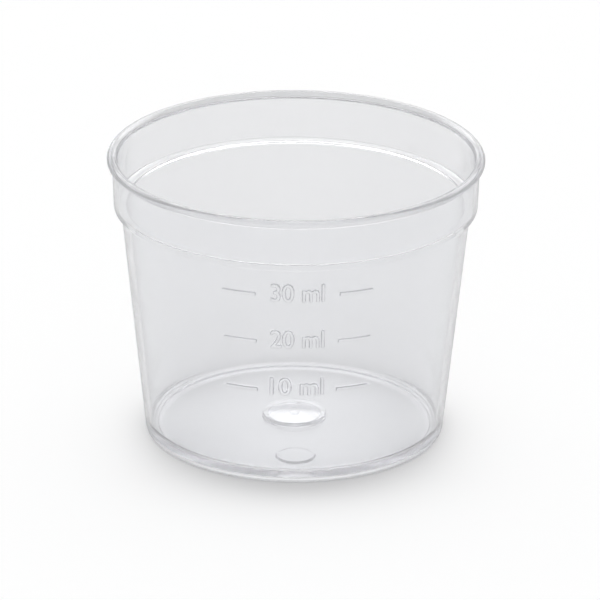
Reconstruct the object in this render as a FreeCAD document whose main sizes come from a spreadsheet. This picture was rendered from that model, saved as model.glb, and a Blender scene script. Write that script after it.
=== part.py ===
import FreeCAD, Part

import math
import os
import Sketcher

# Medicine cup, moulded in one piece of clear polypropylene.
# The axis is +Z, the cup stands on the plane z = 0 and the raised scale faces -Y.

sizes = [
    ("rimDiameter", 47.0, "across the bead round the mouth"),
    ("cupHeight", 36.4, "from the table to the top of the bead"),
    ("beadHeight", 1.05, "height of the bead"),
    ("beadOverhang", 0.64, "how far the rounded bead stands out past the collar"),
    ("mouthEdge", 0.26, "bevel of the mouth's inner edge"),
    ("collarDraft", 2.0, "degrees by which the collar narrows downwards"),
    ("collarWall", 0.6, "wall of the collar"),
    ("ledgeHeight", 29.65, "from the table to the underside of the stacking ledge"),
    ("ledgeThickness", 0.62, "thickness of the stacking ledge"),
    ("ledgeWidth", 0.86, "width of the stacking ledge's underside"),
    ("ledgeEdge", 0.2, "bevel of the ledge's outer and inner edges"),
    ("baseDiameter", 37.5, "across the foot, before its edge is rounded"),
    ("bodyWall", 0.8, "wall of the body, measured level"),
    ("floorHeight", 1.22, "from the table to the upper face of the floor"),
    ("floorThickness", 0.8, "thickness of the floor"),
    ("floorFillet", 1.0, "fillet between the floor and the wall"),
    ("footWidth", 1.5, "width of the foot ring, measured at the table"),
    ("footEdge", 0.35, "bevel of the foot's outer edge"),
    ("bossDiameter", 8.0, "across the gate button in the middle of the floor"),
    ("bossSide", 0.6, "height of the button's upright side"),
    ("bossCrown", 0.24, "rise of the button's domed top above its side"),
    ("bossWall", 0.7, "thickness left over and round the recess below the button"),
    ("gateDiameter", 1.2, "across the gate mark under the button"),
    ("gateLength", 0.35, "length of the gate mark"),
    ("markDiameter", 5.0, "across the round mark on the floor"),
    ("markHeight", 0.24, "height of the round mark above the floor"),
    ("markMargin", 1.87, "from the round mark to the fillet at the wall"),
    ("lineWidth", 0.36, "width of a scale line"),
    ("lineRelief", 0.2, "height of a scale line above the wall"),
    ("lineStart", 14.0, "degrees from the middle of the scale to a line's inner end"),
    ("lineSpan", 11.2, "degrees that a line covers"),
    ("lowLine", 12.94, "height of the 10 ml line"),
    ("middleLine", 19.61, "height of the 20 ml line"),
    ("highLine", 26.05, "height of the 30 ml line"),
]

# Radii and heights that follow from the sizes.
rimRadius = "Sizes.rimDiameter / 2"
beadBottom = "Sizes.cupHeight - Sizes.beadHeight"
collarRadius = f"{rimRadius} - Sizes.beadOverhang"
collarFall = f"tan(Sizes.collarDraft * 1 deg) * ({beadBottom} - Sizes.ledgeHeight)"
collarFoot = f"{collarRadius} - {collarFall}"
ledgeTop = "Sizes.ledgeHeight + Sizes.ledgeThickness"
bodyRadius = f"{collarFoot} - Sizes.ledgeWidth"
baseRadius = "Sizes.baseDiameter / 2"
floorUnderside = "Sizes.floorHeight - Sizes.floorThickness"
footInner = f"{baseRadius} - Sizes.footWidth"


def coneRadius(height):
    """Formula for the outer radius of the body at a height."""
    return f"{baseRadius} + ({bodyRadius} - ({baseRadius})) * ({height}) / Sizes.ledgeHeight"


floorRadius = f"{coneRadius('Sizes.floorHeight')} - Sizes.bodyWall"
flatRadius = f"{floorRadius} - Sizes.floorFillet"
bossRadius = "Sizes.bossDiameter / 2"
bossShoulder = "Sizes.floorHeight + Sizes.bossSide"
bossTop = f"{bossShoulder} + Sizes.bossCrown"
recessRadius = f"{bossRadius} - Sizes.bossWall"
recessTop = f"{bossShoulder} - Sizes.bossWall"
markCentre = f"{flatRadius} - Sizes.markMargin - Sizes.markDiameter / 2"

# No edge is cut back by more than this share of the wall beside it.
edgeShare = 0.6

# The points of an edge as a sketch counts them.
startOf, endOf, centreOf = range(1, 4)

doc = FreeCAD.newDocument("MedicineCup")

sheet = doc.addObject("Spreadsheet::Sheet", "Sizes")
for row, (alias, size, note) in enumerate(sizes, start=1):
    sheet.set(f"A{row}", note)
    sheet.set(f"B{row}", str(size))
    sheet.setAlias(f"B{row}", alias)
doc.recompute()

body = doc.addObject("PartDesign::Body", "Cup")
body.Label = "cup"
body.Placement = FreeCAD.Placement()


def measure(formula):
    """Present value of a formula on the sheet, in millimetres or degrees."""
    return float(sheet.evalExpression(formula))


def originPlane(role):
    return [plane for plane in body.Origin.OriginFeatures if plane.Role == role][0]


def newSketch(name, role):
    sketch = body.newObject("Sketcher::SketchObject", name)
    sketch.AttachmentSupport = [(originPlane(role), "")]
    sketch.MapMode = "FlatFace"
    return sketch


def pinPoint(sketch, edge, end, across, up):
    """Hold an end of an edge at (across, up); None holds it on the sketch's own axis."""
    if across is None:
        sketch.addConstraint(Sketcher.Constraint("PointOnObject", edge, end, -2))
    else:
        index = sketch.addConstraint(Sketcher.Constraint("DistanceX", -1, 1, edge, end, measure(across)))
        sketch.setExpression(f"Constraints[{index}]", across)
    if up is None:
        sketch.addConstraint(Sketcher.Constraint("PointOnObject", edge, end, -1))
    else:
        index = sketch.addConstraint(Sketcher.Constraint("DistanceY", -1, 1, edge, end, measure(up)))
        sketch.setExpression(f"Constraints[{index}]", up)


def drawProfile(sketch, corners, bow=None, addArc=None):
    """Closed outline through the corners; the side that starts at corner bow is an arc."""
    points = []
    for across, up in corners:
        x = 0.0 if across is None else measure(across)
        y = 0.0 if up is None else measure(up)
        points.append(FreeCAD.Vector(x, y, 0))
    edges = []
    for start, point in enumerate(points):
        nextPoint = points[(start + 1) % len(points)]
        if start == bow:
            edges.append(addArc(sketch, point, nextPoint))
        else:
            edges.append(sketch.addGeometry(Part.LineSegment(point, nextPoint), False))
    for start, edge in enumerate(edges):
        follower = edges[(start + 1) % len(edges)]
        sketch.addConstraint(Sketcher.Constraint("Coincident", edge, endOf, follower, startOf))
        pinPoint(sketch, edge, startOf, *corners[start])
    return edges


def addCrown(sketch, shoulder, top):
    """Arc from a shoulder up to the axis, with its centre on the axis."""
    rise = top.y - shoulder.y
    radius = (shoulder.x ** 2 + rise ** 2) / (2 * rise)
    centre = FreeCAD.Vector(0, top.y - radius, 0)
    circle = Part.Circle(centre, FreeCAD.Vector(0, 0, 1), radius)
    shoulderAngle = math.asin(shoulder.x / radius)
    arc = Part.ArcOfCircle(circle, math.pi / 2 - shoulderAngle, math.pi / 2)
    edge = sketch.addGeometry(arc, False)
    sketch.addConstraint(Sketcher.Constraint("PointOnObject", edge, centreOf, -2))
    return edge


def addBead(sketch, low, high):
    """Outer side of the bead, half an ellipse that stands out from the line between low and high."""
    centre = (low + high) * 0.5
    overhang = measure("Sizes.beadOverhang")
    ellipse = Part.Ellipse(centre + FreeCAD.Vector(overhang, 0, 0), high, centre)
    edge = sketch.addGeometry(Part.ArcOfEllipse(ellipse, -math.pi / 2, math.pi / 2), False)
    sketch.exposeInternalGeometry(edge)
    longAxis = edge + 1
    shortAxis = edge + 2
    sketch.addConstraint(Sketcher.Constraint("Horizontal", longAxis))
    sketch.addConstraint(Sketcher.Constraint("PointOnObject", edge, startOf, shortAxis))
    index = sketch.addConstraint(Sketcher.Constraint("Distance", longAxis, 2 * overhang))
    sketch.setExpression(f"Constraints[{index}]", "2 * Sizes.beadOverhang")
    return edge


def revolve(kind, name, sketch, angle="360"):
    feature = body.newObject(kind, name)
    feature.Profile = sketch
    feature.ReferenceAxis = (sketch, ["V_Axis"])
    feature.setExpression("Angle", angle)
    doc.recompute()
    return feature


def ringEdges(feature, rings):
    """Names of a feature's circular edges with the given (radius, height) formulas."""
    wanted = [(measure(radius), measure(height)) for radius, height in rings]
    closeness = 0.001
    names = []
    for number, edge in enumerate(feature.Shape.Edges, start=1):
        if not isinstance(edge.Curve, Part.Circle):
            continue
        for radius, height in wanted:
            sameRadius = abs(edge.Curve.Radius - radius) < closeness
            sameHeight = abs(edge.Curve.Center.z - height) < closeness
            if sameRadius and sameHeight:
                names.append(f"Edge{number}")
    return names


def dressRings(kind, name, measureName, measureFormula, rings):
    base = body.Tip
    dressing = body.newObject(kind, name)
    dressing.Base = (base, ringEdges(base, rings))
    dressing.setExpression(measureName, measureFormula)
    doc.recompute()
    return dressing


def bevelRings(name, size, wall, rings):
    """Bevel that keeps within its share of the wall it is cut from."""
    limited = f"min({size}; {wall} * {edgeShare})"
    return dressRings("PartDesign::Chamfer", name, "Size", limited, rings)


# Wall, floor and foot ring, turned about the axis in one section.
wallSketch = newSketch("WallSection", "XZ_Plane")
drawProfile(wallSketch, [
    (None, floorUnderside),
    (footInner, floorUnderside),
    (footInner, None),
    (baseRadius, None),
    (bodyRadius, "Sizes.ledgeHeight"),
    (collarFoot, "Sizes.ledgeHeight"),
    (collarRadius, beadBottom),
    (collarRadius, "Sizes.cupHeight"),
    (f"{collarRadius} - Sizes.collarWall", "Sizes.cupHeight"),
    (f"{collarFoot} - Sizes.collarWall", ledgeTop),
    (f"{bodyRadius} - Sizes.bodyWall", ledgeTop),
    (floorRadius, "Sizes.floorHeight"),
    (None, "Sizes.floorHeight"),
], bow=6, addArc=addBead)
revolve("PartDesign::Revolution", "Wall", wallSketch)

# The edges of the mouth, the ledge and the foot are broken, and the floor's corner is rounded.
bevelRings("MouthEdge", "Sizes.mouthEdge", "Sizes.collarWall",
           [(f"{collarRadius} - Sizes.collarWall", "Sizes.cupHeight")])
bevelRings("LedgeEdges", "Sizes.ledgeEdge", "Sizes.ledgeThickness",
           [(collarFoot, "Sizes.ledgeHeight"),
            (f"{collarFoot} - Sizes.collarWall", ledgeTop),
            (f"{bodyRadius} - Sizes.bodyWall", ledgeTop)])
bevelRings("FootEdge", "Sizes.footEdge", "Sizes.footWidth", [(baseRadius, "0")])
dressRings("PartDesign::Fillet", "FloorFillet", "Radius", "Sizes.floorFillet",
           [(floorRadius, "Sizes.floorHeight")])

# Gate button: a low domed boss on the floor, hollow below, with the gate's mark in the hollow.
bossSketch = newSketch("ButtonSection", "XZ_Plane")
drawProfile(bossSketch, [
    (None, f"{floorUnderside} + Sizes.floorThickness / 2"),
    (bossRadius, f"{floorUnderside} + Sizes.floorThickness / 2"),
    (bossRadius, bossShoulder),
    (None, bossTop),
], bow=2, addArc=addCrown)
revolve("PartDesign::Revolution", "GateButton", bossSketch)

recessSketch = newSketch("RecessSection", "XZ_Plane")
drawProfile(recessSketch, [
    (None, None),
    (recessRadius, None),
    (recessRadius, recessTop),
    (None, recessTop),
])
volumeBefore = body.Tip.Shape.Volume
revolve("PartDesign::Groove", "GateRecess", recessSketch)
if body.Tip.Shape.Volume >= volumeBefore:
    raise RuntimeError("the recess under the button cuts nothing")

gateSketch = newSketch("GateSection", "XZ_Plane")
drawProfile(gateSketch, [
    (None, f"{recessTop} - Sizes.gateLength"),
    ("Sizes.gateDiameter / 2", f"{recessTop} - Sizes.gateLength"),
    ("Sizes.gateDiameter / 2", f"{recessTop} + Sizes.bossWall / 2"),
    (None, f"{recessTop} + Sizes.bossWall / 2"),
])
revolve("PartDesign::Revolution", "GateMark", gateSketch)

# Round mark, a low flat disc on the floor on the side of the scale.
markSketch = newSketch("MarkOutline", "XY_Plane")
markSketch.setExpression(".AttachmentOffset.Base.z", f"{floorUnderside} + Sizes.floorThickness / 2")
markCircle = Part.Circle(FreeCAD.Vector(0, -measure(markCentre), 0), FreeCAD.Vector(0, 0, 1),
                         measure("Sizes.markDiameter") / 2)
markEdge = markSketch.addGeometry(markCircle, False)
pinPoint(markSketch, markEdge, centreOf, None, f"-({markCentre})")
diameterIndex = markSketch.addConstraint(
    Sketcher.Constraint("Diameter", markEdge, measure("Sizes.markDiameter")))
markSketch.setExpression(f"Constraints[{diameterIndex}]", "Sizes.markDiameter")
doc.recompute()
volumeBefore = body.Tip.Shape.Volume
mark = body.newObject("PartDesign::Pad", "RoundMark")
mark.Profile = markSketch
mark.setExpression("Length", "Sizes.floorThickness / 2 + Sizes.markHeight")
doc.recompute()
if mark.Shape.Volume <= volumeBefore:
    raise RuntimeError("the round mark adds nothing")


def addScaleLine(name, height, start):
    """Raised stroke that follows the wall at a height, turned up from its start in degrees."""
    root = f"{coneRadius(height)} - Sizes.bodyWall / 2"
    face = f"{coneRadius(height)} + Sizes.lineRelief"
    rootHalf = "Sizes.lineWidth"
    faceHalf = "Sizes.lineWidth / 4"
    section = newSketch(f"{name}Section", "XZ_Plane")
    section.setExpression(".AttachmentOffset.Rotation.Axis.x", "0")
    section.setExpression(".AttachmentOffset.Rotation.Axis.y", "1")
    section.setExpression(".AttachmentOffset.Rotation.Axis.z", "0")
    section.setExpression(".AttachmentOffset.Rotation.Angle", start)
    drawProfile(section, [
        (root, f"{height} - {rootHalf}"),
        (face, f"{height} - {faceHalf}"),
        (face, f"{height} + {faceHalf}"),
        (root, f"{height} + {rootHalf}"),
    ])
    return revolve("PartDesign::Revolution", name, section, "Sizes.lineSpan")


scaleLines = [("LowLine", "Sizes.lowLine"), ("MiddleLine", "Sizes.middleLine"), ("HighLine", "Sizes.highLine")]
for lineName, lineHeight in scaleLines:
    addScaleLine(f"{lineName}Right", lineHeight, "-90 + Sizes.lineStart")
    addScaleLine(f"{lineName}Left", lineHeight, "-90 - Sizes.lineStart - Sizes.lineSpan")

doc.recompute()

for thing in doc.Objects:
    if "Invalid" in thing.State or "Error" in thing.State:
        raise RuntimeError(f"{thing.Name} failed: {thing.State}")
if body.Shape.isNull() or not body.Shape.isValid():
    raise RuntimeError("the cup's shape is not valid")
if len(body.Shape.Solids) != 1:
    raise RuntimeError("the cup is not one solid")

os.makedirs("parts", exist_ok=True)
body.Shape.exportStep(f"parts/{body.Label}.step")
print("cup volume, cubic millimetres:", round(body.Shape.Volume, 1))
print("box:", body.Shape.BoundBox)
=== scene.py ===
import math

import bpy
from mathutils import Matrix, Vector


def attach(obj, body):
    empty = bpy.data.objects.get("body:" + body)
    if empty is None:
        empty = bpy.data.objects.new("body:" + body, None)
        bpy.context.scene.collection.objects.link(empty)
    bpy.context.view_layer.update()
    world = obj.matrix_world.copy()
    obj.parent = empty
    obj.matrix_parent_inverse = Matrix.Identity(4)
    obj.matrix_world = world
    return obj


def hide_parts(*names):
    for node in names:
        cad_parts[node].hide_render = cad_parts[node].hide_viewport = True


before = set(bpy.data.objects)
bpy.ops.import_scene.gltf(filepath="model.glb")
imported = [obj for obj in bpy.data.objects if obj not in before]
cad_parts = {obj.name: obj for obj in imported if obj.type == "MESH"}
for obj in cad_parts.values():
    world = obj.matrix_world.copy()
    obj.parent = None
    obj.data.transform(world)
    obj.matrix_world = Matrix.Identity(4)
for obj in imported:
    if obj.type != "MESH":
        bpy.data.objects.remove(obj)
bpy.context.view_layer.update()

mm = 0.001
print("frame loaded")


# Arithmetic on node outputs: an expression adds the Math nodes it needs.
class Signal:
    def __init__(self, bench, socket):
        self.bench = bench
        self.socket = socket

    def math(self, operation, *values):
        inputs = {index: value for index, value in enumerate(values)}
        return self.bench.make("ShaderNodeMath", {"operation": operation}, inputs)

    def __add__(self, other):
        return self.math("ADD", self, other)

    def __radd__(self, other):
        return self.math("ADD", other, self)

    def __sub__(self, other):
        return self.math("SUBTRACT", self, other)

    def __rsub__(self, other):
        return self.math("SUBTRACT", other, self)

    def __mul__(self, other):
        return self.math("MULTIPLY", self, other)

    def __rmul__(self, other):
        return self.math("MULTIPLY", other, self)

    def __truediv__(self, other):
        return self.math("DIVIDE", self, other)

    def __rtruediv__(self, other):
        return self.math("DIVIDE", other, self)

    def __abs__(self):
        return self.math("ABSOLUTE", self)

    def floor(self):
        return self.math("FLOOR", self)

    def sine(self):
        return self.math("SINE", self)

    def cosine(self):
        return self.math("COSINE", self)

    def out(self, name):
        return Signal(self.bench, self.socket.node.outputs[name])


class Bench:
    def __init__(self, tree):
        self.tree = tree

    def make(self, kind, settings=None, inputs=None, output=0):
        node = self.tree.nodes.new(kind)
        for name, value in (settings or {}).items():
            setattr(node, name, value)
        for key, value in (inputs or {}).items():
            for one in value if isinstance(value, list) else [value]:
                if isinstance(one, Signal):
                    self.tree.links.new(one.socket, node.inputs[key])
                else:
                    node.inputs[key].default_value = one
        return Signal(self, node.outputs[output] if node.outputs else None)


def mixColour(bench, factor, first, second):
    inputs = {0: factor, 6: first, 7: second}
    return bench.make("ShaderNodeMix", {"data_type": "RGBA"}, inputs, 2)


def mixShader(bench, factor, first, second):
    return bench.make("ShaderNodeMixShader", {}, {0: factor, 1: first, 2: second})


def joinVector(bench, x, y, z):
    return bench.make("ShaderNodeCombineXYZ", {}, {0: x, 1: y, 2: z})


def lengthOf(bench, vector):
    return bench.make("ShaderNodeVectorMath", {"operation": "LENGTH"}, {0: vector}, 1)


def ramp(bench, signal, places, ends=(0.0, 1.0), shape="SMOOTHSTEP"):
    # one value that changes into another between two places
    return bench.make("ShaderNodeMapRange", {"interpolation_type": shape}, {
        "Value": signal, "From Min": places[0], "From Max": places[1],
        "To Min": ends[0], "To Max": ends[1]})


def hump(bench, signal, places, after=0.0):
    # up between the first two places and down again between the last two
    return ramp(bench, signal, places[:2]) * ramp(bench, signal, places[2:], (1.0, after))


def emptyNodes(owner):
    owner.use_nodes = True
    owner.node_tree.nodes.clear()
    return Bench(owner.node_tree)


# Sizes of the cup in millimetres. They are those of the part's source, but for the finer
# roundings and the round mark, which is a little lower here and has a soft flank.
cup = {
    "rimDiameter": 47.0, "cupHeight": 36.4, "beadHeight": 1.05,
    "collarDiameter": 45.72, "collarDraft": 2.0, "collarWall": 0.6,
    "ledgeHeight": 29.65, "ledgeThickness": 0.62, "ledgeRound": 0.28,
    "bodyDiameter": 43.6, "baseDiameter": 37.5, "bodyWall": 0.8,
    "floorHeight": 1.22, "floorThickness": 0.8, "floorFillet": 1.0,
    "footWidth": 1.5, "footRound": 0.5, "footInnerRound": 0.12,
    "bossDiameter": 8.0, "bossSide": 0.6, "bossCrown": 0.24, "bossWall": 0.7,
    "gateDiameter": 1.2, "gateLength": 0.35,
    "markDiameter": 5.0, "markHeight": 0.19, "markMargin": 1.87, "markFlank": 0.22,
    "markDish": 0.75,        # height of the mark inside its lip, as a share of the lip
    "dishStart": 1.4,        # from the mark's edge to its lip, in widths of its flank
    "softEdge": 0.06,        # least rounding of any moulded edge
}

# How closely the rings of the cup stand: millimetres, degrees of arc and counts.
rings = {
    "arcStep": 12.0, "fineArcStep": 30.0,
    "fineRound": 0.15,       # a rounding up to this gets the wider step
    "hold": 0.03,            # from the end of a rounding to the next ring on the straight
    "longStraight": 0.18,    # a straight above this gets a ring at each end
    "beadTurn": 270.0, "beadSteps": 24, "beadTail": 0.6,
    "domeRows": 10, "markStep": 0.17,
    "merge": 0.001,
}

# The raised scale: heights in millimetres, turns in degrees from its middle.
scale = {
    "rows": [("30 ml", 26.05, 25.23), ("20 ml", 19.61, 18.89), ("10 ml", 12.94, 12.37)],
    "numeralHeight": 2.33, "numeralWidth": 6.5,
    "lineWidth": 0.36, "lineStart": 14.0, "lineSpan": 11.2,
    "relief": 0.2, "flank": 0.09, "fineStep": 0.088, "bandMargin": 0.15,
    "clearOfFoot": 2.0, "clearOfLedge": 1.0,
    # columns of the mesh on either side of the middle, zone by zone
    "numeralTurns": (9.6, 11.8), "lineMargin": 0.3, "zoneColumns": (43, 9, 3, 5, 8, 5, 82),
}


# Profile of the wall: a chain of corners, each rounded by an arc of its own radius.
def arcAt(last, here, following, radius):
    toLast = (last - here).normalized()
    toNext = (following - here).normalized()
    opening = toLast.angle(toNext)
    setBack = radius / math.tan(opening / 2)
    centre = here + (toLast + toNext).normalized() * (radius / math.sin(opening / 2))
    first = here + toLast * setBack - centre
    final = here + toNext * setBack - centre
    turn = math.pi - opening
    if first.x * final.y < first.y * final.x:
        turn = -turn
    step = rings["arcStep"] if radius > rings["fineRound"] else rings["fineArcStep"]
    count = max(3, round(abs(math.degrees(turn)) / step))
    arc = []
    for k in range(count + 1):
        cosine, sine = math.cos(turn * k / count), math.sin(turn * k / count)
        spoke = Vector((first.x * cosine - first.y * sine, first.x * sine + first.y * cosine))
        arc.append(centre + spoke)
    return arc


def rounded(corners):
    runs = []
    for index, (r, z, radius) in enumerate(corners):
        here = Vector((r, z))
        if radius == 0 or index in (0, len(corners) - 1):
            runs.append([here])
        else:
            last, following = Vector(corners[index - 1][:2]), Vector(corners[index + 1][:2])
            runs.append(arcAt(last, here, following, radius))
    # a ring close to each end of a long straight keeps its shading flat up to the rounding
    points = list(runs[0])
    for run in runs[1:]:
        gap = run[0] - points[-1]
        if gap.length > rings["longStraight"]:
            short = gap.normalized() * rings["hold"]
            points += [points[-1] + short, run[0] - short]
        points += run
    return points


def domeRows(radius, shoulder):
    # radii and heights of a dome, from its shoulder to the axis
    rise, count = cup["bossCrown"], rings["domeRows"]
    sphere = (radius ** 2 + rise ** 2) / (2 * rise)
    rows = []
    for k in range(1, count + 1):
        r = radius * (1 - k / count)
        rows.append((r, shoulder + rise - sphere + math.sqrt(sphere ** 2 - r ** 2), 0))
    return rows


def coneRadius(z):
    low = cup["baseDiameter"] / 2
    return low + (cup["bodyDiameter"] / 2 - low) * z / cup["ledgeHeight"]


def markPlace():
    floorRadius = coneRadius(cup["floorHeight"]) - cup["bodyWall"]
    return floorRadius - cup["floorFillet"] - cup["markMargin"] - cup["markDiameter"] / 2


def wallRows():
    # rings of the outer wall stand close together only where the scale is
    rows = []
    for text, line, baseline in sorted(scale["rows"], key=lambda row: row[1]):
        low = baseline - scale["bandMargin"]
        high = baseline + scale["numeralHeight"] + scale["bandMargin"]
        count = round((high - low) / scale["fineStep"])
        for k in range(count + 1):
            height = low + (high - low) * k / count
            rows.append((coneRadius(height), height, 0))
    return rows


def beadRows(mouthRadius):
    reach = (cup["rimDiameter"] / 2 - mouthRadius) / 2
    rise = cup["beadHeight"] / 2
    middle, level = cup["rimDiameter"] / 2 - reach, cup["cupHeight"] - rise
    rows = []
    for k in range(rings["beadSteps"] + 1):
        angle = math.radians(-90 + rings["beadTurn"] * k / rings["beadSteps"])
        rows.append((middle + reach * math.cos(angle), level + rise * math.sin(angle), 0))
    # the inner side runs on down into the collar
    innerRadius, innerHeight = rows[-1][:2]
    rows[-1] = (innerRadius, innerHeight - rise * rings["beadTail"], 0)
    return rows


def floorRows():
    # rings across the round mark, from the wall towards the middle
    reach = cup["markDiameter"] / 2 + cup["markFlank"]
    count = round(2 * reach / rings["markStep"])
    start = markPlace() + reach
    return [(start - 2 * reach * k / count, cup["floorHeight"], 0) for k in range(count + 1)]


def cupProfile():
    collarRadius = cup["collarDiameter"] / 2
    beadBottom = cup["cupHeight"] - cup["beadHeight"]
    collarFall = math.tan(math.radians(cup["collarDraft"])) * (beadBottom - cup["ledgeHeight"])
    collarFoot = collarRadius - collarFall
    ledgeTop = cup["ledgeHeight"] + cup["ledgeThickness"]
    bodyRadius = cup["bodyDiameter"] / 2
    baseRadius = cup["baseDiameter"] / 2
    underside = cup["floorHeight"] - cup["floorThickness"]
    footInner = baseRadius - cup["footWidth"]
    floorRadius = coneRadius(cup["floorHeight"]) - cup["bodyWall"]
    bossRadius = cup["bossDiameter"] / 2
    bossShoulder = cup["floorHeight"] + cup["bossSide"]
    recessRadius = bossRadius - cup["bossWall"]
    recessShoulder = bossShoulder - cup["bossWall"]
    gateRadius = cup["gateDiameter"] / 2
    recessTop = bossShoulder + cup["bossCrown"] - cup["bossWall"]
    gateEnd = recessTop - cup["gateLength"]
    soft = cup["softEdge"]
    ceiling = domeRows(recessRadius, recessShoulder)[::-1]

    # from the gate under the button, over the foot, up the outside and down the inside
    corners = [
        (0, gateEnd, 0),
        (gateRadius, gateEnd, soft),
        (gateRadius, recessTop, soft),
        *[row for row in ceiling if row[0] > gateRadius + soft * 2],
        (recessRadius, recessShoulder, soft * 2),
        (recessRadius, underside, soft),
        (footInner, underside, cup["footInnerRound"]),
        (footInner, 0, cup["footInnerRound"]),
        (baseRadius, 0, cup["footRound"]),
        *wallRows(),
        (bodyRadius, cup["ledgeHeight"], soft),
        (collarFoot, cup["ledgeHeight"], cup["ledgeRound"]),
        *beadRows(collarRadius - cup["collarWall"]),
        (collarFoot - cup["collarWall"], ledgeTop, cup["ledgeRound"]),
        (bodyRadius - cup["bodyWall"], ledgeTop, cup["ledgeRound"]),
        (floorRadius, cup["floorHeight"], cup["floorFillet"]),
        *floorRows(),
        (bossRadius, cup["floorHeight"], soft * 2),
        (bossRadius, bossShoulder, soft * 2),
        *domeRows(bossRadius, bossShoulder),
    ]
    return rounded(corners)


def columnTurns(bench, index):
    # turn of a column from the middle of the scale: zones of columns, each with its own spacing
    start, margin = scale["lineStart"], scale["lineMargin"]
    end = start + scale["lineSpan"]
    turns = [*scale["numeralTurns"], start - margin, start + margin, end - margin, end + margin, 180.0]
    spans, last = [], 0.0
    for turn, count in zip(turns, scale["zoneColumns"]):
        spans.append((turn - last, count))
        last = turn
    total, column = -math.pi, 0
    for span, count in [*reversed(spans), *spans]:
        zone = (float(column), float(column + count))
        total = ramp(bench, index, zone, (0.0, math.radians(span)), "LINEAR") + total
        column += count
    return total, column


def profileValue(bench, given, row, value, kind="FLOAT"):
    return bench.make("GeometryNodeSampleIndex", {"data_type": kind, "domain": "POINT"}, {
        "Geometry": given.out("Profile"), "Value": value, "Index": row})


def profileFlag(bench, given, row, name):
    value = bench.make("GeometryNodeInputNamedAttribute", {"data_type": "FLOAT"}, {"Name": name})
    return profileValue(bench, given, row, value)


# The scale is drawn flat beside the wall: x along the wall, y up.
def drawnNumerals(bench, given, text, baseline):
    string = bench.make("GeometryNodeStringToCurves", {}, {"String": text, "Size": 1.0})
    letters = bench.make("GeometryNodeRealizeInstances", {}, {0: string})
    filled = bench.make("GeometryNodeFillCurve", {}, {0: letters})
    box = bench.make("GeometryNodeBoundBox", {}, {0: filled})
    low = bench.make("ShaderNodeSeparateXYZ", {}, {0: box.out("Min")})
    high = bench.make("ShaderNodeSeparateXYZ", {}, {0: box.out("Max")})
    spot = bench.make("ShaderNodeSeparateXYZ", {}, {0: bench.make("GeometryNodeInputPosition")})
    middle = (low.out("X") + high.out("X")) * 0.5
    flatX = (spot.out("X") - middle) / (high.out("X") - low.out("X")) * given.out("Numeral width")
    flatY = spot.out("Y") / high.out("Y") * given.out("Numeral height") + baseline * mm
    return bench.make("GeometryNodeSetPosition", {}, {
        "Geometry": filled, "Position": joinVector(bench, flatX, flatY, 0.0)})


def drawnStrokes(bench, given, line):
    radius = coneRadius(line) * mm
    length = math.radians(scale["lineSpan"]) * radius
    reach = math.radians(scale["lineStart"] + scale["lineSpan"] / 2) * radius
    strokes = []
    for side in (-1, 1):
        stroke = bench.make("GeometryNodeMeshGrid", {}, {
            "Size X": length, "Size Y": given.out("Line width"), "Vertices X": 2, "Vertices Y": 2})
        strokes.append(bench.make("GeometryNodeTransform", {}, {
            "Geometry": stroke, "Translation": (side * reach, line * mm, 0.0)}))
    return strokes


def raisedScale(bench, given, turn, radius, height):
    drawn = []
    for text, line, baseline in scale["rows"]:
        drawn.append(drawnNumerals(bench, given, text, baseline))
        drawn += drawnStrokes(bench, given, line)
    near = bench.make("GeometryNodeProximity", {"target_element": "FACES"}, {
        "Geometry": bench.make("GeometryNodeJoinGeometry", {}, {0: drawn}),
        "Sample Position": joinVector(bench, turn * radius, height, 0.0)})
    share = ramp(bench, near.out("Distance"), (0.0, given.out("Flank")), (1.0, 0.0))
    return share * given.out("Relief")


def raisedMark(bench, given, x, y):
    # a low round disc, a little lower inside its lip
    fromMiddle = lengthOf(bench, joinVector(bench, x, y + given.out("Mark centre"), 0.0))
    inside = given.out("Mark diameter") * 0.5 - fromMiddle
    flank = given.out("Mark flank")
    risen = ramp(bench, inside, (0.0, flank))
    lip = ramp(bench, inside - flank * cup["dishStart"], (0.0, flank), (1.0, cup["markDish"]))
    return risen * lip * given.out("Mark height")


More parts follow.
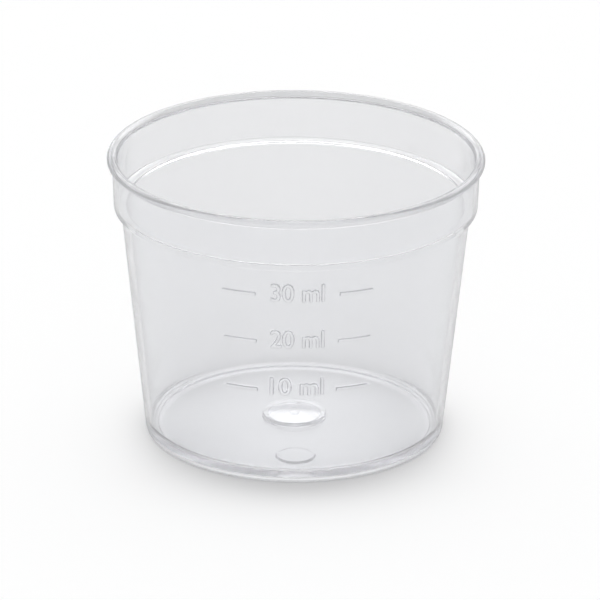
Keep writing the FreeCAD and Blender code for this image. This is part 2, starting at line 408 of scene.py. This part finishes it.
def turnedCupTree(rowCount, lengths):
    tree = bpy.data.node_groups.new("turnedCup", "GeometryNodeTree")
    face = tree.interface
    face.new_socket("Profile", in_out="INPUT", socket_type="NodeSocketGeometry")
    for name in lengths:
        face.new_socket(name, in_out="INPUT", socket_type="NodeSocketFloat")
    face.new_socket("Finish", in_out="INPUT", socket_type="NodeSocketMaterial")
    face.new_socket("Cup", in_out="OUTPUT", socket_type="NodeSocketGeometry")
    bench = Bench(tree)
    given = bench.make("NodeGroupInput")

    # a grid of columns and rows, wrapped round the axis
    index = bench.make("GeometryNodeInputIndex")
    column = (index / float(rowCount) + 1e-4).floor()
    row = index - column * float(rowCount)
    turn, columns = columnTurns(bench, column)
    grid = bench.make("GeometryNodeMeshGrid", {}, {"Vertices X": columns + 1, "Vertices Y": rowCount})
    position = bench.make("GeometryNodeInputPosition")
    spot = profileValue(bench, given, row, position, "FLOAT_VECTOR")
    parts = bench.make("ShaderNodeSeparateXYZ", {}, {0: spot})
    radius, height = parts.out("X"), parts.out("Z")
    onWall = profileFlag(bench, given, row, "onWall")
    onFloor = profileFlag(bench, given, row, "onFloor")
    across = radius + raisedScale(bench, given, turn, radius, height) * onWall
    x, y = across * turn.sine(), across * turn.cosine() * -1.0
    up = height + raisedMark(bench, given, x, y) * onFloor

    wrapped = bench.make("GeometryNodeSetPosition", {}, {
        "Geometry": grid, "Position": joinVector(bench, x, y, up)})
    closed = bench.make("GeometryNodeMergeByDistance", {}, {
        "Geometry": wrapped, "Distance": rings["merge"] * mm})
    smooth = bench.make("GeometryNodeSetShadeSmooth", {}, {"Geometry": closed, "Shade Smooth": True})
    whole = bench.make("GeometryNodeRealizeInstances", {}, {0: smooth})
    finished = bench.make("GeometryNodeSetMaterial", {}, {
        "Geometry": whole, "Material": given.out("Finish")})
    bench.make("NodeGroupOutput", {}, {0: finished})
    return tree


# Finish of the plastic, with the painted shade and highlight that go into it. Places are heights, radii
# and depths in millimetres, the rest are shares.
finishAndPaintedLight = {
    "refraction": 1.49, "seeThrough": 0.86,
    "tints": ((0.974, 0.978, 0.992, 1), (0.984, 0.988, 1.0, 1)), "cloudScale": 90.0,
    # the flank colour is painted shade on the flanks of the raised scale
    "flankShade": (0.4, 0.405, 0.42, 1), "flankTurn": (0.98, 0.7),
    "skinDepth": 0.2, "skinBlend": 0.1, "scaleFrom": (8.0, 9.0), "scaleTo": (29.2, 28.8),
    "roughness": 0.02, "grainRoughness": 0.03, "grainScale": 500.0,
    "footRoughness": 0.04, "footHeights": (1.0, 2.2), "footRadii": (16.2, 17.2),
    "waveScale": 60.0, "waveStrength": 0.05, "waveDepth": 0.3,
    # the milky band on top of the ledge is a painted highlight
    "highlightHazeHeights": (30.1, 30.24, 30.3, 30.4), "highlightHazeRadii": (20.9, 21.1, 22.1, 22.3),
    "highlightHazeRoughness": 0.12, "highlightHazeSeeThrough": 0.4,
    # the grey mix is painted shade in the bead and at the edges of the wall
    "grey": (0.62, 0.625, 0.64, 1), "greySlant": (0.55, 1.0), "greyHeights": (2.5, 5.0), "greyWall": 0.36,
    "beadHeights": (35.35, 35.6), "beadDepths": (-21.5, -14.0), "greyBead": (0.05, 0.24),
    "absorbed": (0.5, 0.5, 0.55, 1), "absorption": 26.0,
}

# What light for the shadow passes through: denser low on the wall, and more so at the front.
shadow = {
    "clear": (0.988, 0.988, 0.99, 1), "murky": (0.45, 0.45, 0.46, 1),
    "wallRadii": (16.3, 17.3), "frontDepths": (-14.0, -4.0), "frontToSide": (0.9, 0.3),
    "wallHeights": (0.0, 10.0), "footHeights": (0.0, 4.5), "foot": 0.7, "slanted": 0.04,
}


def shadedFlankOfScale(bench, x, y, height, radius):
    # where the outer wall turns away from its cone, as it does round a raised stroke: there the colour
    # gets painted shade
    lean = (cup["bodyDiameter"] - cup["baseDiameter"]) / 2 / cup["ledgeHeight"]
    cone = bench.make("ShaderNodeVectorMath", {"operation": "NORMALIZE"}, {
        0: joinVector(bench, x, y, radius * -lean)})
    facing = bench.make("ShaderNodeTexCoord").out("Normal")
    along = bench.make("ShaderNodeVectorMath", {"operation": "DOT_PRODUCT"}, {0: facing, 1: cone}, 1)
    turned = ramp(bench, abs(along), finishAndPaintedLight["flankTurn"], shape="LINEAR")
    depth = radius - (height * lean + (cup["baseDiameter"] / 2 - finishAndPaintedLight["skinDepth"]))
    outside = ramp(bench, depth, (0.0, finishAndPaintedLight["skinBlend"]), shape="LINEAR")
    aboveFoot = ramp(bench, height, finishAndPaintedLight["scaleFrom"], shape="LINEAR")
    belowLedge = ramp(bench, height, finishAndPaintedLight["scaleTo"], shape="LINEAR")
    return turned * outside * aboveFoot * belowLedge


def plasticShader(bench, place, x, y, height, radius, slant):
    cloud = bench.make("ShaderNodeTexNoise", {}, {
        "Vector": place, "Scale": finishAndPaintedLight["cloudScale"], "Detail": 2.0})
    tint = mixColour(bench, cloud, *finishAndPaintedLight["tints"])
    # painted shade: the flanks of the raised scale are darkened where light would be sent aside
    tint = mixColour(bench, shadedFlankOfScale(bench, x, y, height, radius), tint, finishAndPaintedLight["flankShade"])
    grain = bench.make("ShaderNodeTexNoise", {}, {
        "Vector": place, "Scale": finishAndPaintedLight["grainScale"], "Detail": 3.0})
    atFoot = ramp(bench, height, finishAndPaintedLight["footHeights"], (finishAndPaintedLight["footRoughness"], 0.0))
    atRing = ramp(bench, radius, finishAndPaintedLight["footRadii"], shape="LINEAR")
    wave = bench.make("ShaderNodeTexNoise", {}, {
        "Vector": place, "Scale": finishAndPaintedLight["waveScale"], "Detail": 1.0})
    bump = bench.make("ShaderNodeBump", {}, {
        "Height": wave, "Strength": finishAndPaintedLight["waveStrength"], "Distance": finishAndPaintedLight["waveDepth"] * mm})
    plastic = bench.make("ShaderNodeBsdfPrincipled", {}, {
        "Base Color": tint, "Normal": bump,
        "Roughness": grain * finishAndPaintedLight["grainRoughness"] + finishAndPaintedLight["roughness"] + atFoot * atRing,
        "IOR": finishAndPaintedLight["refraction"], "Transmission Weight": finishAndPaintedLight["seeThrough"]})

    # painted highlight: the top of the ledge is made milky, so that its lit haze shows as a bright line
    onLedge = hump(bench, height, finishAndPaintedLight["highlightHazeHeights"]) * hump(bench, radius, finishAndPaintedLight["highlightHazeRadii"])
    ledgeHighlightHaze = bench.make("ShaderNodeBsdfPrincipled", {}, {
        "Base Color": tint, "Roughness": finishAndPaintedLight["highlightHazeRoughness"],
        "IOR": finishAndPaintedLight["refraction"], "Transmission Weight": finishAndPaintedLight["highlightHazeSeeThrough"]})
    plastic = mixShader(bench, onLedge, plastic, ledgeHighlightHaze)

    # painted shade: greyer in the bead, least at its front, and where the wall is seen along its surface
    grey = bench.make("ShaderNodeBsdfTransparent", {}, {"Color": finishAndPaintedLight["grey"]})
    beadShade = ramp(bench, height, finishAndPaintedLight["beadHeights"])
    beadShade = beadShade * ramp(bench, y, finishAndPaintedLight["beadDepths"], finishAndPaintedLight["greyBead"])
    edge = ramp(bench, slant, finishAndPaintedLight["greySlant"], shape="LINEAR")
    edge = edge * edge * ramp(bench, height, finishAndPaintedLight["greyHeights"], (0.0, finishAndPaintedLight["greyWall"]))
    return mixShader(bench, edge + beadShade, plastic, grey)


def shadeShader(bench, y, height, radius, slant):
    clear = bench.make("ShaderNodeBsdfTransparent", {}, {"Color": shadow["clear"]})
    murky = bench.make("ShaderNodeBsdfTransparent", {}, {"Color": shadow["murky"]})
    atWall = ramp(bench, radius, shadow["wallRadii"], shape="LINEAR")
    atFront = ramp(bench, y, shadow["frontDepths"], shadow["frontToSide"])
    dense = atFront * ramp(bench, height, shadow["wallHeights"], (1.0, 0.0))
    dense = dense + ramp(bench, height, shadow["footHeights"], (shadow["foot"], 0.0))
    return mixShader(bench, atWall * dense + slant * slant * shadow["slanted"], clear, murky)


def clearPolypropylene():
    material = bpy.data.materials.new("clearPolypropylene")
    bench = emptyNodes(material)
    place = bench.make("ShaderNodeTexCoord").out("Object")
    parts = bench.make("ShaderNodeSeparateXYZ", {}, {0: place})
    x, y, height = (parts.out(axis) / mm for axis in "XYZ")
    radius = lengthOf(bench, joinVector(bench, x, y, 0.0))
    slant = bench.make("ShaderNodeLayerWeight", {}, {"Blend": 0.5}).out("Facing")
    plastic = plasticShader(bench, place, x, y, height, radius, slant)
    shade = shadeShader(bench, y, height, radius, slant)

    # light for the shadow passes straight through, all other rays see the plastic
    path = bench.make("ShaderNodeLightPath")
    surface = mixShader(bench, path.out("Is Shadow Ray"), plastic, shade)
    surface = mixShader(bench, path.out("Is Diffuse Ray"), surface, shade)
    dulling = bench.make("ShaderNodeVolumeAbsorption", {}, {
        "Color": finishAndPaintedLight["absorbed"], "Density": finishAndPaintedLight["absorption"]})
    bench.make("ShaderNodeOutputMaterial", {}, {"Surface": surface, "Volume": dulling})
    return material


def profileMesh(profile):
    mesh = bpy.data.meshes.new("cupProfile")
    mesh.from_pydata([(r * mm, 0, z * mm) for r, z in profile],
                     [(k, k + 1) for k in range(len(profile) - 1)], [])
    onWall = mesh.attributes.new("onWall", "FLOAT", "POINT")
    onFloor = mesh.attributes.new("onFloor", "FLOAT", "POINT")
    closeness = 1e-4
    low, high = scale["clearOfFoot"], cup["ledgeHeight"] - scale["clearOfLedge"]
    for k, (r, z) in enumerate(profile):
        onWall.data[k].value = float(abs(r - coneRadius(z)) < closeness and low < z < high)
        onFloor.data[k].value = float(abs(z - cup["floorHeight"]) < closeness)
    return mesh


def makeCup():
    profile = cupProfile()
    piece = bpy.data.objects.new("clearCup", profileMesh(profile))
    bpy.context.collection.objects.link(piece)
    lengths = {
        "Relief": scale["relief"], "Flank": scale["flank"],
        "Numeral height": scale["numeralHeight"], "Numeral width": scale["numeralWidth"],
        "Line width": scale["lineWidth"],
        "Mark centre": markPlace(), "Mark diameter": cup["markDiameter"],
        "Mark height": cup["markHeight"], "Mark flank": cup["markFlank"],
    }
    tree = turnedCupTree(len(profile), lengths)
    modifier = piece.modifiers.new("turnedCup", "NODES")
    modifier.node_group = tree
    for item in tree.interface.items_tree:
        if item.name in lengths:
            modifier[item.identifier] = lengths[item.name] * mm
        elif item.name == "Finish":
            modifier[item.identifier] = clearPolypropylene()
    graph = bpy.context.evaluated_depsgraph_get()
    turned = bpy.data.meshes.new_from_object(piece.evaluated_get(graph), depsgraph=graph)
    piece.modifiers.clear()
    piece.data = turned
    print("cup turned:", len(turned.vertices), "vertices,", len(turned.polygons), "faces")
    return piece


clearCup = makeCup()
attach(clearCup, "root")
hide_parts("cup")


# The table, with light and shadow painted on it under the cup. Radii and distances to the side are in
# millimetres, the rest are strengths.
table = {
    "reach": 1500.0,
    "drop": 0.03,            # so that the foot and the table don't share a plane
    "grey": 0.78, "cameraGlow": 0.22, "glow": 0.05,
    # the glow under the foot and the dome is painted light, and the darkening under the floor is painted
    # shadow
    "footRadii": (16.1, 17.0, 18.2, 18.9), "footGlow": 0.34,
    "footSides": (9.0, 16.0), "footAtSides": 0.5,
    "domeRadii": (1.6, 3.4), "domeGlow": 0.22,
    "floorRadii": (16.1, 18.5), "floorSides": (3.0, 13.0), "floorShadowDepths": (0.01, 0.05),
}


def paleFloor():
    material = bpy.data.materials.new("paleFloor")
    bench = emptyNodes(material)
    spot = bench.make("ShaderNodeTexCoord").out("Object")
    away = lengthOf(bench, spot) / mm
    aside = abs(bench.make("ShaderNodeSeparateXYZ", {}, {0: spot}).out("X") / mm)
    # painted light: glowing rings on the table under the foot and the domed middle stand in for the light
    # these gather and throw there; painted shadow: the table under the floor is darker, more so towards
    # the sides
    paintedLightUnderFoot = hump(bench, away, table["footRadii"]) * table["footGlow"]
    paintedLightUnderFoot = paintedLightUnderFoot * ramp(bench, aside, table["footSides"], (1.0, table["footAtSides"]))
    paintedLightUnderDome = ramp(bench, away, table["domeRadii"], (table["domeGlow"], 0.0))
    paintedShadowUnderFloor = ramp(bench, away, table["floorRadii"], (1.0, 0.0))
    paintedShadowUnderFloor = paintedShadowUnderFloor * ramp(bench, aside, table["floorSides"], table["floorShadowDepths"])
    paintedLightUnderCup = paintedLightUnderFoot + paintedLightUnderDome - paintedShadowUnderFloor

    # white for the camera, close to its plain level through the plastic
    path = bench.make("ShaderNodeLightPath")
    through = path.out("Is Transmission Ray") + path.out("Is Glossy Ray")
    # through the plastic the table also shows the painted light and shadow under the cup
    strength = path.out("Is Camera Ray") * table["cameraGlow"] + through * (paintedLightUnderCup + table["glow"])
    glow = bench.make("ShaderNodeEmission", {}, {"Color": (1, 1, 1, 1), "Strength": strength})
    matt = bench.make("ShaderNodeBsdfDiffuse", {}, {"Color": (table["grey"],) * 3 + (1,)})
    both = bench.make("ShaderNodeAddShader", {}, {0: matt, 1: glow})
    bench.make("ShaderNodeOutputMaterial", {}, {"Surface": both})
    return material


def makeFloor():
    half, level = table["reach"] * mm, -table["drop"] * mm
    corners = [(-half, -half, level), (half, -half, level), (half, half, level), (-half, half, level)]
    mesh = bpy.data.meshes.new("floor")
    mesh.from_pydata(corners, [], [(0, 1, 2, 3)])
    mesh.materials.append(paleFloor())
    floor = bpy.data.objects.new("floor", mesh)
    bpy.context.collection.objects.link(floor)
    print("floor laid")
    return floor


makeFloor()


# Light of the room by direction: across is -1 in front and 1 behind, height 0 is level and 1 overhead.
studio = {
    "plain": 0.532, "behind": (0.15, 0.6),
    "above": (0.375, 0.44, 0.6, 0.78), "overhead": 0.2, "aboveLight": 3.2,
    "below": (0.13, 0.2, 0.3, 0.355), "belowLight": 1.2,
    "before": (-0.6, -0.95), "beforeHeights": (0.2, 0.6), "beforeLight": 0.8,
}


def makeWorld():
    world = bpy.data.worlds.new("studio")
    bpy.context.scene.world = world
    bench = emptyNodes(world)
    ray = bench.make("ShaderNodeTexCoord").out("Generated")
    parts = bench.make("ShaderNodeSeparateXYZ", {}, {0: ray})
    across, height = parts.out("Y"), parts.out("Z")
    # plain light from all sides, a wide light high behind, a strip below it, a faint light in front
    above = hump(bench, height, studio["above"], studio["overhead"]) * studio["aboveLight"]
    below = hump(bench, height, studio["below"]) * studio["belowLight"]
    before = ramp(bench, across, studio["before"])
    before = before * ramp(bench, height, studio["beforeHeights"], (1.0, 0.0)) * studio["beforeLight"]
    light = ramp(bench, across, studio["behind"]) * (above + below) + before + studio["plain"]
    seen = bench.make("ShaderNodeLightPath").out("Is Camera Ray")
    shown = seen + (1.0 - seen) * light
    back = bench.make("ShaderNodeBackground", {}, {"Color": (1, 1, 1, 1), "Strength": shown})
    bench.make("ShaderNodeOutputWorld", {}, {"Surface": back})
    print("light set")


makeWorld()

# The camera in millimetres and degrees, as solved from the outlines in the photo.
camera = {
    "distance": 700.4, "elevation": 20.74, "turn": -0.85, "aimHeight": 35.90,
    "aimDrop": 1.449, "aimTurn": 0.05, "roll": 0.404,
    "focalPixels": 5638.7, "framePixels": 600, "sensor": 36.0, "nearest": 10.0,
}


def makeCamera():
    data = bpy.data.cameras.new("camera")
    data.sensor_width = camera["sensor"]
    data.lens = camera["focalPixels"] / camera["framePixels"] * camera["sensor"]
    data.clip_start = camera["nearest"] * mm
    eye = bpy.data.objects.new("camera", data)
    bpy.context.collection.objects.link(eye)
    lift = math.radians(camera["elevation"])
    away = Vector((0, -math.cos(lift), math.sin(lift)))
    forward = -away
    right = Vector((1, 0, 0))
    up = right.cross(forward)
    drop, aside, roll = (math.radians(camera[name]) for name in ("aimDrop", "aimTurn", "roll"))
    lowered = forward * math.cos(drop) - up * math.sin(drop)
    raisedUp = up * math.cos(drop) + forward * math.sin(drop)
    aimed = lowered * math.cos(aside) + right * math.sin(aside)
    sideways = right * math.cos(aside) - lowered * math.sin(aside)
    rolledRight = sideways * math.cos(roll) + raisedUp * math.sin(roll)
    rolledUp = raisedUp * math.cos(roll) - sideways * math.sin(roll)
    frameOfEye = Matrix((rolledRight, rolledUp, -aimed)).transposed().to_4x4()
    frameOfEye.translation = away * camera["distance"] * mm + Vector((0, 0, camera["aimHeight"] * mm))
    eye.matrix_world = Matrix.Rotation(math.radians(camera["turn"]), 4, "Z") @ frameOfEye
    bpy.context.scene.camera = eye
    print("camera set")


makeCamera()
bpy.context.scene.view_settings.view_transform = "Standard"
# light runs a long way inside clear plastic before it leaves
paths = bpy.context.scene.cycles
paths.max_bounces, paths.transmission_bounces, paths.glossy_bounces = 32, 24, 24
